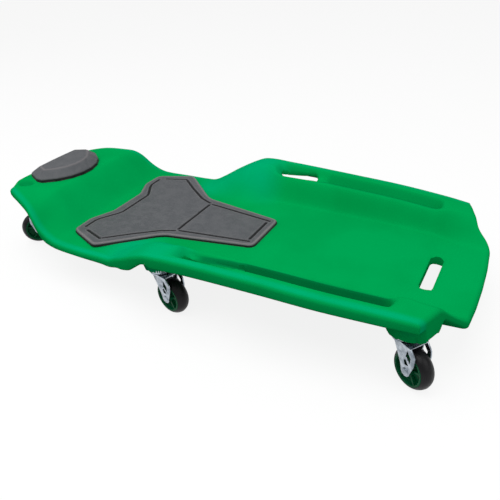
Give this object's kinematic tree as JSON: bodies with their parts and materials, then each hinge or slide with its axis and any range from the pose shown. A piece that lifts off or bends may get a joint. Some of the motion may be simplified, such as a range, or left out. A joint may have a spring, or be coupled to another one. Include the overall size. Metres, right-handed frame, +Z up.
{
  "type": "mechanics creeper",
  "caption": "Low wheeled board that a person lies on to work under a car: moulded contoured deck with tool trays and hand slots, back pad, head pad and swivel casters",
  "frame": {"origin": "Centre of the footprint, on the floor under the wheels", "axes": "+Z up, +X from the head end to the foot end, +Y to the left hand of a person lying on the deck"},
  "size_m": [1.022, 0.496, 0.186],
  "materials": {
    "green_plastic": "moulded, satin, fine grain",
    "pad_foam": "soft textured foam skin, matte",
    "brass": "turned",
    "zinc_steel": "bright zinc plated",
    "bearing_steel": "polished",
    "green_hub": "moulded nylon",
    "tyre": "matte rubber, smooth tread"
  },
  "bodies": {
    "deck": {"deck": "green_plastic", "back_pad": "pad_foam", "head_pad": "pad_foam", "caster_foot_right_insert": "brass", "caster_foot_right_kingbolt": "zinc_steel", "caster_foot_right_top_race": "zinc_steel", "caster_foot_right_balls": "bearing_steel", "caster_foot_left_insert": "brass", "caster_foot_left_kingbolt": "zinc_steel", "caster_foot_left_top_race": "zinc_steel", "caster_foot_left_balls": "bearing_steel", "caster_mid_right_insert": "brass", "caster_mid_right_kingbolt": "zinc_steel", "caster_mid_right_top_race": "zinc_steel", "caster_mid_right_balls": "bearing_steel", "caster_mid_left_insert": "brass", "caster_mid_left_kingbolt": "zinc_steel", "caster_mid_left_top_race": "zinc_steel", "caster_mid_left_balls": "bearing_steel", "caster_head_right_insert": "brass", "caster_head_right_kingbolt": "zinc_steel", "caster_head_right_top_race": "zinc_steel", "caster_head_right_balls": "bearing_steel", "caster_head_left_insert": "brass", "caster_head_left_kingbolt": "zinc_steel", "caster_head_left_top_race": "zinc_steel", "caster_head_left_balls": "bearing_steel"},
    "fork_foot_right": {"caster_foot_right_fork": "zinc_steel", "caster_foot_right_axle": "zinc_steel", "caster_foot_right_axle_nut": "zinc_steel"},
    "wheel_foot_right": {"caster_foot_right_hub": "green_hub", "caster_foot_right_tyre": "tyre"},
    "fork_foot_left": {"caster_foot_left_fork": "zinc_steel", "caster_foot_left_axle": "zinc_steel", "caster_foot_left_axle_nut": "zinc_steel"},
    "wheel_foot_left": {"caster_foot_left_hub": "green_hub", "caster_foot_left_tyre": "tyre"},
    "fork_mid_right": {"caster_mid_right_fork": "zinc_steel", "caster_mid_right_axle": "zinc_steel", "caster_mid_right_axle_nut": "zinc_steel"},
    "wheel_mid_right": {"caster_mid_right_hub": "green_hub", "caster_mid_right_tyre": "tyre"},
    "fork_mid_left": {"caster_mid_left_fork": "zinc_steel", "caster_mid_left_axle": "zinc_steel", "caster_mid_left_axle_nut": "zinc_steel"},
    "wheel_mid_left": {"caster_mid_left_hub": "green_hub", "caster_mid_left_tyre": "tyre"},
    "fork_head_right": {"caster_head_right_fork": "zinc_steel", "caster_head_right_axle": "zinc_steel", "caster_head_right_axle_nut": "zinc_steel"},
    "wheel_head_right": {"caster_head_right_hub": "green_hub", "caster_head_right_tyre": "tyre"},
    "fork_head_left": {"caster_head_left_fork": "zinc_steel", "caster_head_left_axle": "zinc_steel", "caster_head_left_axle_nut": "zinc_steel"},
    "wheel_head_left": {"caster_head_left_hub": "green_hub", "caster_head_left_tyre": "tyre"}
  },
  "joints": [
    {"name": "swivel_foot_right", "type": "hinge", "parent": "deck", "child": "fork_foot_right", "pos_m": [0.421, -0.17, 0.088], "axis": [0, 0, 1], "continuous": true},
    {"name": "roll_foot_right", "type": "hinge", "parent": "fork_foot_right", "child": "wheel_foot_right", "pos_m": [0.44448, -0.18525, 0.0375], "axis": [0.5446, 0.8387, 0], "continuous": true},
    {"name": "swivel_foot_left", "type": "hinge", "parent": "deck", "child": "fork_foot_left", "pos_m": [0.421, 0.17, 0.088], "axis": [0, 0, 1], "continuous": true},
    {"name": "roll_foot_left", "type": "hinge", "parent": "fork_foot_left", "child": "wheel_foot_left", "pos_m": [0.44638, 0.18183, 0.0375], "axis": [-0.4226, 0.9063, 0], "continuous": true},
    {"name": "swivel_mid_right", "type": "hinge", "parent": "deck", "child": "fork_mid_right", "pos_m": [-0.045, -0.177, 0.088], "axis": [0, 0, 1], "continuous": true},
    {"name": "roll_mid_right", "type": "hinge", "parent": "fork_mid_right", "child": "wheel_mid_right", "pos_m": [-0.01795, -0.18425, 0.0375], "axis": [0.2588, 0.9659, 0], "continuous": true},
    {"name": "swivel_mid_left", "type": "hinge", "parent": "deck", "child": "fork_mid_left", "pos_m": [-0.045, 0.177, 0.088], "axis": [0, 0, 1], "continuous": true},
    {"name": "roll_mid_left", "type": "hinge", "parent": "fork_mid_left", "child": "wheel_mid_left", "pos_m": [-0.01761, 0.18282, 0.0375], "axis": [-0.2079, 0.9781, 0], "continuous": true},
    {"name": "swivel_head_right", "type": "hinge", "parent": "deck", "child": "fork_head_right", "pos_m": [-0.462, -0.067, 0.088], "axis": [0, 0, 1], "continuous": true},
    {"name": "roll_head_right", "type": "hinge", "parent": "fork_head_right", "child": "wheel_head_right", "pos_m": [-0.48, -0.08845, 0.0375], "axis": [0.766, -0.6428, 0], "continuous": true},
    {"name": "swivel_head_left", "type": "hinge", "parent": "deck", "child": "fork_head_left", "pos_m": [-0.462, 0.067, 0.088], "axis": [0, 0, 1], "continuous": true},
    {"name": "roll_head_left", "type": "hinge", "parent": "fork_head_left", "child": "wheel_head_left", "pos_m": [-0.48, 0.08845, 0.0375], "axis": [-0.766, -0.6428, 0], "continuous": true}
  ]
}
